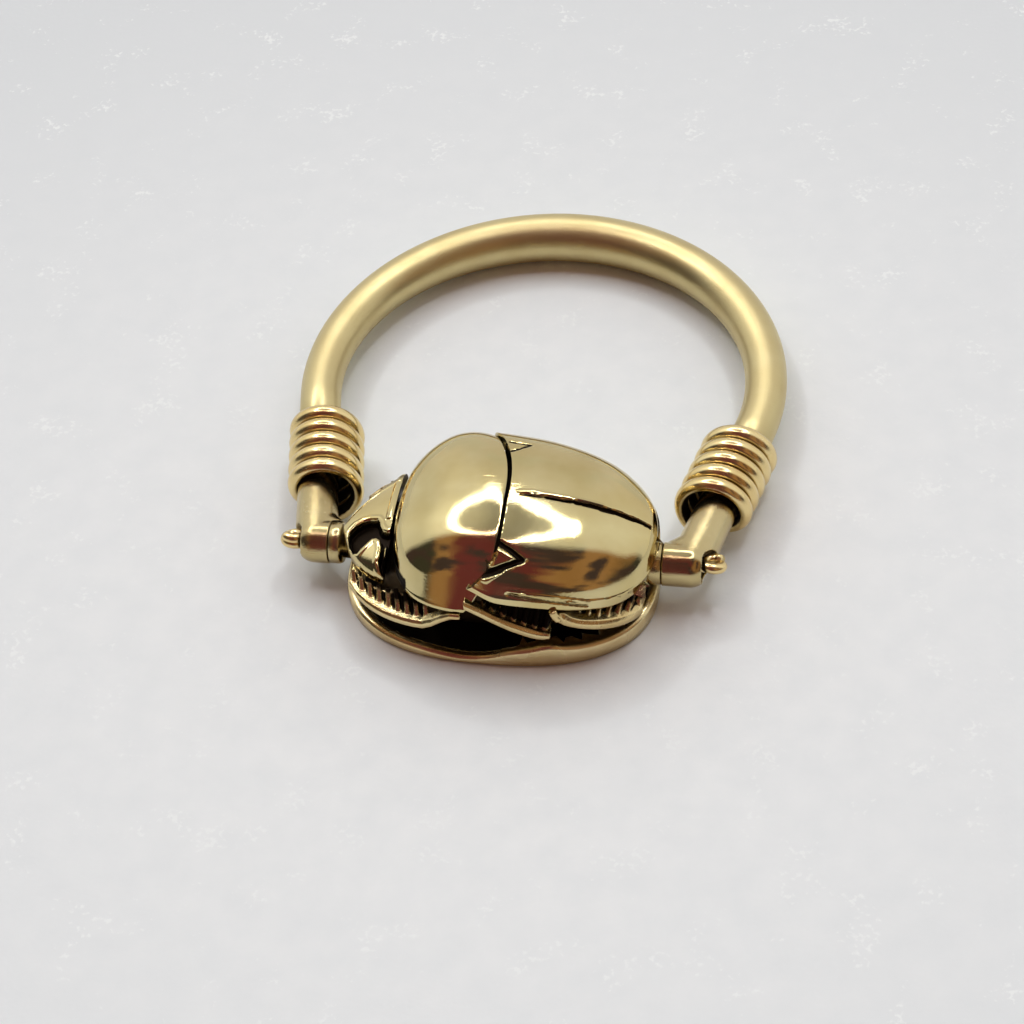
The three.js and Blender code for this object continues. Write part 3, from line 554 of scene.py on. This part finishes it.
def section(turn, full):
    """How high and how far out a turn over the back lies, as shares. The turn is less than 0 on the
    near side."""
    up, out = on_oval(turn, full)
    if turn < 0 and full in SKIRTS:
        steep, low, wide = skirt(full)
        out = (out if up > low else -(wide + (low - up) / steep)) / (wide + low / steep)
    return up, out


def near_height(share, full):
    """The height of the near side's section at a share of its width"""
    steep, low, wide = skirt(full)
    out = share * (wide + low / steep)
    return rounded(out, full) if out < wide else low - (out - wide) * steep


def roof(near, far, middle, reach, side, lip, crest, plan, far_plan, sections, swell=0.0):
    """One part of the back: a place for a share of the way to its tip and for a turn over it. Near
    and far are its half widths, and the two plans say how full its outline is from above."""
    def at(share, turn):
        x = side * (middle + share * (reach - middle))
        up, out = section(turn, sections[turn > 0])
        half = near * rounded(share, plan)
        if turn > 0:
            half = far * rounded(share, far_plan) * (1 + swell * sin(pi * min(share, 1)))
        return Vector((x, half * out, lip(x) + max(crest(x) - lip(x), 0) * up))
    return at


def sheet(surface, start, along, across, reach, fall=0.0):
    """A fine sheet over one part of the back, closer set towards its tip. Its edge along the seam
    may fall a little, over the first 0.9 mm."""
    mesh = bmesh.new()
    bmesh.ops.create_grid(mesh, x_segments=along, y_segments=across, size=1)
    for point in mesh.verts:
        turn = point.co.y * pi / 2
        first = start(turn)
        share = (1 - first) * (1 - ((1 - point.co.x) / 2) ** 2.4)
        point.co = surface(first + share, turn)
        point.co.z -= fall * max(0, 1 - share * reach / 0.9) ** 2
    return outward_up(mesh)


def outward_up(mesh):
    """Merge the points that meet, and turn an open sheet's faces upwards"""
    bmesh.ops.remove_doubles(mesh, verts=mesh.verts, dist=0.002)
    bmesh.ops.recalc_face_normals(mesh, faces=mesh.faces)
    if sum(face.normal.z * face.calc_area() for face in mesh.faces) < 0:
        bmesh.ops.reverse_faces(mesh, faces=mesh.faces)
    return mesh


elytra_roof = roof(ELYTRA_HALF, ELYTRA_HALF, 0, HALF_LENGTH, 1, elytra_lip, ridge,
                   ELYTRA_PLAN, ELYTRA_PLAN, ELYTRA_SECTIONS)
pronotum_roof = roof(4.15, 3.98, 0, PRONOTUM_REACH, -1, pronotum_lip, ridge,
                     2.9, 3.4, PRONOTUM_SECTIONS, swell=0.11)
head_roof = roof(2.51, HEAD_FAR, PRONOTUM_REACH, HEAD_REACH, -1, lambda x: HEAD_LIP, head_crest,
                 1.7, HEAD_PLAN, HEAD_SECTIONS)


def seam(turn, sections):
    """How far along the ridge the seam lies at a turn over the back: it runs forward at both sides"""
    out = abs(section(turn, sections[turn > 0])[1])
    return 0.54 - 1.34 * out ** (2.4 if turn > 0 else 6)


def on_elytra(*places):
    """Places on the wing cases, from their places on the plan"""
    drawn_line = []
    for x, y in places:
        share = abs(y) / (ELYTRA_HALF * rounded(x / HALF_LENGTH, ELYTRA_PLAN))
        up = rounded(share, ELYTRA_SECTIONS[1]) if y > 0 else near_height(share, ELYTRA_SECTIONS[0])
        drawn_line.append(Vector((x, y, elytra_lip(x) + (ridge(x) - elytra_lip(x)) * up)))
    return drawn_line


def moulded(mesh, lip, roll, height):
    """Draw the lowest strip of a sheet out into a flat band. On the near side it leans in, and its
    lowest edge is rounded under."""
    step, lean, edge, under = 0.14, 0.3, 0.15, 0.05
    mesh.normal_update()
    for point in mesh.verts:
        tall = height(point.co.x)
        drop = 1 - (point.co.z - lip(point.co.x)) / tall
        if drop > 0:
            flat = Vector((point.normal.x, point.normal.y, 0)).normalized()
            tuck = lean * drop * tall * (point.co.y < 0) + under * max(0, drop - (1 - edge)) / edge
            point.co += flat * (roll * min(1, drop / step) - tuck)


def elytra():
    """The wing cases, one shell with its engraved lines"""
    suture = on_elytra((1.1, -0.08), (1.56, -0.04), (2.07, -0.02), (2.69, -0.01), (3.22, 0.03),
                       (3.77, 0.03), (4.27, 0.01), (4.7, 0.03), (5.12, 0.05), (5.61, 0.08), (6.1, 0.04))
    burr = on_elytra((1.0, 0.06), (1.53, 0.16), (2.08, 0.14), (2.66, 0.19), (3.2, 0.18), (4.27, 0.17))
    widths = (0.05, 0.06, 0.08, 0.1, 0.12, 0.14, 0.145, 0.14, 0.13, 0.11)
    # Each stroke's last number is how dark the shade painted in its groove is
    strokes = [([a, b], half, 0.16, 1) for a, b, half in zip(suture, suture[1:], widths)]
    strokes += [
        (burr, 0.08, -0.03, 0),
        # The near triangle: its two sides, the wide end of one, and the ridges beside them
        (on_elytra((0.56, -2.39), (0.64, -2.44), (1.05, -2.63), (1.5, -2.88)), 0.14, 0.13, 1),
        (on_elytra((1.47, -2.92), (0.69, -3.25), (0.02, -3.55)), 0.15, 0.14, 1),
        (on_elytra((0.7, -3.28), (0.3, -3.45), (0.02, -3.56)), 0.19, 0.12, 1),
        (on_elytra((1.64, -2.87), (0.85, -3.34), (0.11, -3.7)), 0.07, -0.04, 0),
        (on_elytra((0.27, -3.27), (0.52, -2.66), (1.16, -2.9)), 0.07, -0.05, 0),
        # The far triangle
        (on_elytra((0.2, 2.9), (0.57, 2.85), (1.06, 2.81), (0.71, 2.5), (0.35, 2.24)), 0.08, 0.06, 0.75),
        # The flute over the lip, with its raised edge
        (on_elytra((1.1, -3.78), (1.6, -3.76), (2.25, -3.71), (3.0, -3.6), (4.11, -3.34)), 0.05, -0.05, 0),
        (on_elytra((1.03, -3.85), (1.87, -3.83), (3.0, -3.69), (4.0, -3.48)), 0.08, 0.06, 0.45),
    ]
    pits = ((4.69, -3.04), (5.12, -2.79), (5.51, -2.47), (5.88, -2.07))
    strokes += [(on_elytra((x, y), (x + 0.09, y + 0.05)), 0.06, 0.03, 0.38) for x, y in pits]
    mesh = sheet(elytra_roof, lambda turn: (seam(turn, ELYTRA_SECTIONS) + GAP) / HALF_LENGTH,
                 200, 215, HALF_LENGTH)
    score(mesh, strokes)
    # The near corner at the seam is tucked in
    corner, reach, most = 0.5, 0.95, 0.07
    for point in mesh.verts:
        x, y = point.co.xy
        if y < 0 and x < corner:
            point.co.y *= 1 - most * ((corner - x) / reach) ** 1.5 * (y / ELYTRA_HALF) ** 2
    moulded(mesh, elytra_lip, 0.05, lambda x: 0.34 + 0.045 * max(x, 0))
    return done("elytra_shell", mesh, "scarab", "polished_gold", polished, "elytra", wall=0.45, edge=0.09)


def pronotum():
    """The shield behind the head, painted black as shade at the front, below a line that lies higher on the
    far side
    """
    mesh = sheet(pronotum_roof, lambda turn: (GAP - seam(turn, PRONOTUM_SECTIONS)) / PRONOTUM_REACH,
                 130, 190, PRONOTUM_REACH, fall=0.06)
    moulded(mesh, pronotum_lip, 0.03, lambda x: 0.2)
    # Painted shade by the head: the front is black below a height
    front, black_height, further, blur = -3.2, 3.55, 0.2, 0.2
    layer = mesh.verts.layers.float.new("scored")
    for point in mesh.verts:
        x, y, z = point.co
        point[layer] = (x < front) * min(1, max(0, (black_height + further * (y > 0) - z) / blur))
    return done("pronotum_shell", mesh, "scarab", "polished_gold", polished, "pronotum", wall=0.45, edge=0.1)


def inside(place, outline):
    """How deep a place lies inside an outline on the plan, and less than 0 how far outside it"""
    sides = list(zip(outline, outline[1:] + outline[:1]))
    nearest = min(distance(Vector((place.x, place.y, 0)), a, b) for a, b in sides)
    crossed = sum((a.y > place.y) != (b.y > place.y)
                  and place.x < (b.x - a.x) * (place.y - a.y) / (b.y - a.y) + a.x for a, b in sides)
    return nearest if crossed % 2 else -nearest


def head():
    """The shield-shaped head, with a horseshoe recess round its wedge"""
    outline = ((-5.72, -1.4), (-5.95, -1.05), (-6.04, -0.7), (-6.02, -0.42), (-5.78, -0.06), (-5.5, 0.13),
               (-5.22, 0.19), (-4.9, 0.15), (-4.78, 0.0), (-4.72, -0.22), (-4.58, -0.46), (-4.38, -0.56),
               (-4.0, -0.5), (-4.0, -0.9), (-4.16, -1.15), (-4.32, -1.4), (-4.3, -1.75), (-4.18, -2.2),
               (-4.3, -2.5), (-4.44, -2.3), (-4.56, -1.95), (-4.53, -1.35), (-4.64, -0.98), (-4.8, -0.86),
               (-4.98, -0.87), (-5.24, -1.16), (-5.5, -1.46))
    recess = [Vector((x, y, 0)) for x, y in outline]
    wall, depth, bottom, lip = 0.12, 0.42, 2.55, 0.22
    front_share = 0.91
    mesh = bmesh.new()
    bmesh.ops.create_grid(mesh, x_segments=150, y_segments=240, size=1)
    for point in mesh.verts:
        turn = point.co.y * pi / 2
        way = 1 - ((1 - point.co.x) / 2) ** 1.7
        point.co = head_roof(1 - front_share + front_share * way, turn)
    outward_up(mesh)
    layer = mesh.verts.layers.float.new("scored")
    for point in mesh.verts:
        x, y = point.co.xy
        far_edge = HEAD_FAR * rounded((-x - PRONOTUM_REACH) / (HEAD_REACH - PRONOTUM_REACH), HEAD_PLAN)
        rim = y / (far_edge + 0.001)
        # The far rim stands up with a grey line of painted shade inside it, the back edge too, and the gap
        # is painted black as shade
        if rim > 0.72:
            point.co.z += 0.03 * sin(pi * min(1, (rim - 0.72) / 0.1))
            point[layer] = 0.4 * (0.82 < rim < 0.9)
        if y > 0.1 and x > -4.6:
            point.co.z += 0.07 * sin(pi * min(1, (x + 4.6) / 0.33))
        if x > -4.275:
            point[layer] = 1
        if y > 0.5 or point.co.z < bottom + 0.01:
            continue
        # Inside the recess the points sink, and are painted dark as its shade
        deep = inside(point.co, recess)
        if deep > 0:
            share = min(1, deep / wall)
            point.co.z = max(point.co.z - depth * share * share * (3 - 2 * share), bottom)
            point[layer] = min(1, share * 1.2)
        elif deep > -lip:
            point.co.z += 0.035 * sin(pi * -deep / lip)
    bmesh.ops.holes_fill(mesh, edges=[edge for edge in mesh.edges if edge.is_boundary], sides=0)
    return done("head_shield", outward(mesh), "scarab", "polished_gold", polished, "head")


def base_plate():
    """The dish: rings of one oval, drawn up over the rim and in over the floor, which is painted black
    as shade. Along the tail half the rim's inner edge is jagged, and the painted black ends at it."""
    full, steps = 2.45, 240
    jagged = (1.2, 5.8)
    floor_height, floor_share = 0.3, 0.925

    def oval(inset, rise, bump=0.0):
        places = []
        for step in range(steps):
            c, s = on_oval(2 * pi * step / steps, full)
            x, y = c * HALF_LENGTH, s * HALF_WIDTH
            lump = 0.0
            if jagged[0] < x < jagged[1]:
                lump = bump * (0.5 + 0.3 * sin(9.3 * x) + 0.25 * sin(17 * x + 1))
            x_share = 1 - (inset + lump) / HALF_LENGTH
            y_share = 1 - (inset + lump) / HALF_WIDTH
            places.append(Vector((x * x_share, y * y_share, rise(x))))
        return places

    def knobs(x):
        return 0.07 * max(0, sin(9.3 * x)) ** 2 * (jagged[0] < x < jagged[1])

    def over(more):
        """A height over the rim's own, and never under the floor"""
        return lambda x: max(rim_height(x), floor_height) + more

    rings = [
        oval(2.2, lambda x: 0),
        oval(0.16, lambda x: 0),
        oval(0.05, lambda x: 0.03),
        oval(0, lambda x: 0.1),
        oval(0, lambda x: max(rim_height(x) - 0.1, 0.16)),
        oval(0.04, lambda x: max(rim_height(x), 0.24)),
        oval(0.14, over(0.05)),
        oval(0.26, over(0.06)),
        oval(0.36, over(0.03), 0.22),
        oval(0.42, lambda x: over(-0.03)(x) + knobs(x), 0.4),
        oval(0.48, lambda x: max(rim_height(x) - 0.2, floor_height), 0.42),
        oval(0.54, lambda x: 0.32, 0.42),
        oval(0.7, lambda x: floor_height, 0.42),
        oval(2.2, lambda x: floor_height),
    ]
    mesh = outward(skin(bmesh.new(), rings))
    # Painted shade: the floor inside the rim is black, and on the tail half it stops below the rim's inner
    # edge
    layer = mesh.verts.layers.float.new("scored")
    for point in mesh.verts:
        x, y, z = point.co
        size = (abs(x / HALF_LENGTH) ** full + abs(y / HALF_WIDTH) ** full) ** (1 / full)
        black = min(1, max(0, (floor_share - size) / 0.05))
        if x > jagged[0]:
            black *= min(1, max(0, (rim_height(x) - 0.1 - z) / 0.15))
        point[layer] = (z > 0.15) * black
    return done("base_dish", mesh, "scarab", "worn_gold", dished, "base_plate")


# For each kind of leg: how high its bar lies, how far over the bar it is bright, and over what
# height the painted shade under the back darkens it from there
LEG_BARS = {
    "foreleg": (heights([(-0.146, 0.52), (-0.215, 0.51), (-0.304, 0.448), (-0.383, 0.385),
                         (-0.51, 0.376), (-0.665, 0.385), (-0.8, 0.4), (-0.907, 0.405)]), 0.15, 0.3),
    "midleg": (heights([(-0.116, 0.639), (-0.027, 0.582), (0.088, 0.493), (0.204, 0.422), (0.324, 0.363),
                        (0.4, 0.338)]), 0.0, 0.12),
    "hindleg": (heights([(0.456, 0.586), (0.491, 0.538), (0.566, 0.464), (0.707, 0.397), (0.836, 0.334),
                         (0.932, 0.269)]), 0.12, 0.3),
}


def leg(node):
    """A leg as one soft casting: its bar and the feet of its ribs are bright, and painted shade darkens it
    above them and in its pits
    """
    bar_height, bright, fade = LEG_BARS[node.split("_")[1]]

    def shade(place):
        return min(1, max(0, (place.z - bar_height(place.x) - bright) / fade))

    mesh = copied(node)
    if "hindleg" in node:
        side = -1 if "near" in node else 1
        strap = ((2.95, 3.93, 2.85), (2.8, 3.93, 3.05), (2.7, 3.9, 3.32))
        bar(mesh, [Vector((x, side * y, z)) for x, y, z in strap], 0.17, 16)
    mesh = pit_shaded(outward(melted(mesh, voxel=0.034, passes=8)), passes=30, depth=0.026, shade=shade)
    return done(f"{node}_cast", mesh, "scarab", "worn_gold", worn, node)


def underbody():
    """The core behind the legs, painted dark as the shade there"""
    soft = melted(copied("underbody"), voxel=0.075, passes=8)
    return done("core_cast", outward(soft), "scarab", "dark_gold", shadowed_core_gold, "underbody")


hoop()
for side, name in ((-1, "left"), (1, "right")):
    coil(side, f"{name}_coil_wire")
    knuckle(side, f"{name}_knuckle")
swivel_wire()
bearing_tube()
elytra()
pronotum()
head()
base_plate()
for where in ("near", "far"):
    for which in ("foreleg", "midleg", "hindleg"):
        leg(f"{where}_{which}")
underbody()


# Floor, room and camera
def floor():
    """A pale table, with a painted pool of light that darkens with distance, and painted glints"""
    paint = Finish("pale floor")
    speck = paint.noise(4200, 2)
    patches = paint.ramp(paint.noise(700, 4), (0.3, 0), (0.7, 1))
    cloud = paint.blend(patches, (0.86, 0.93, 0.95, 1), (0.90, 0.965, 0.98, 1))
    # Painted falloff of light: the floor darkens away from the middle
    far = paint.node("ShaderNodeVectorMath", {"operation": "LENGTH"}, paint.place, output=1)
    cloud = paint.blend(paint.ramp(far * 20, (0.25, 0), (0.9, 1)), cloud, (0.77, 0.84, 0.865, 1))
    # Painted glints: bright specks in the floor's colour
    painted_glint = paint.ramp(speck * paint.noise(500, 1), (0.36, 0), (0.45, 1))
    paint.set(Base_Color=paint.blend(painted_glint, cloud, (0.92, 0.99, 1.0, 1)), Roughness=0.9)
    paint.set(Normal=paint.node("ShaderNodeBump", None, Strength=0.06, Distance=0.0001, Height=speck))
    mesh = bmesh.new()
    bmesh.ops.create_grid(mesh, x_segments=1, y_segments=1, size=0.6)
    card = stand(mesh, "floor")
    card.data.materials.append(paint.material)


def sky():
    """A bright room behind and above with a ring lamp in it, and the viewer's dark reds and browns"""
    world = bpy.data.worlds.new("room")
    bpy.context.scene.world = world
    room = Finish("room", world, "Background", "Generated")
    axes = room.node("ShaderNodeSeparateXYZ", None, room.place).socket.node.outputs

    def facing(way):
        """How far a direction of the room points along a way"""
        return room.node("ShaderNodeVectorMath", {"operation": "DOT_PRODUCT"}, room.place, way, output=1)

    # The lamp is an oval ring round its aim, about 1 away from it, and isn't repeated behind
    aim = Vector((-0.12, 0.34, 0.93)).normalized()
    level = Vector((0.93, 0, 0.12)).normalized()
    wide = facing(level) * (1 / 0.39)
    tall = facing(aim.cross(level)) * (1 / 0.335)
    wrong_side = room.ramp(facing(aim), (0.0, 1), (0.1, 0)) * 9
    round_about = (wide * wide + tall * tall).math("SQRT") + wrong_side
    lamp_ring = room.ramp(round_about * 0.5, (0.462, 0), (0.47, 1), (0.508, 1), (0.518, 0))
    within = room.ramp(round_about * 0.5, (0.40, 1), (0.47, 0))

    # The viewer's side, in bands across
    dusk, brown, red = (0.06, 0.06, 0.05, 1), (0.42, 0.24, 0.12, 1), (0.18, 0.045, 0.055, 1)
    bands = [(0, dusk), (0.12, dusk), (0.18, brown), (0.27, brown), (0.33, red), (0.62, red), (0.7, brown),
             (0.9, brown), (1, dusk)]
    across = Level(room, axes["X"]) * 0.5 + 0.38 + room.noise(3.2, 2) * 0.24
    viewer = room.node("ShaderNodeValToRGB", {"stops": bands}, across)
    gloom = room.ramp(room.noise(2.6, 2), (0.5, 0), (0.6, 1))
    viewer = room.blend(gloom, viewer, (0.07, 0.05, 0.055, 1))

    behind = Level(room, axes["Y"]) * 0.5 + 0.5
    bright = room.ramp(behind, (0.49, 0.0), (0.55, 0.85), (0.72, 1.0), (0.92, 0.75))
    window = facing(Vector((-0.5, 0.3, 0.8)).normalized())
    glow = room.ramp(window, (0.86, 0), (0.98, 1)) * bright
    room.set(Color=room.blend(bright, viewer, (1, 1, 1, 1)),
             Strength=0.94 + glow * 0.35 - within * 0.5 + lamp_ring * 21)


def camera():
    """The photograph's view, as fitted to the ring in it"""
    view = bpy.data.cameras.new("camera")
    view.lens, view.sensor_width = 86.2, 36
    view.clip_start, view.clip_end = 0.005, 5
    holder = bpy.data.objects.new("camera", view)
    right = Vector((0.98636, 0.14713, -0.07377))
    up = Vector((-0.06272, 0.75041, 0.65799))
    back = Vector((0.15217, -0.64439, 0.74940))
    turn = Matrix((right, up, back)).transposed().to_4x4()
    place = Vector((15.3165, -62.1413, 76.7439)) * 0.001
    holder.matrix_world = Matrix.Translation(place) @ turn
    bpy.context.scene.collection.objects.link(holder)
    bpy.context.scene.camera = holder


floor()
sky()
camera()
bpy.context.scene.view_settings.view_transform = "Standard"
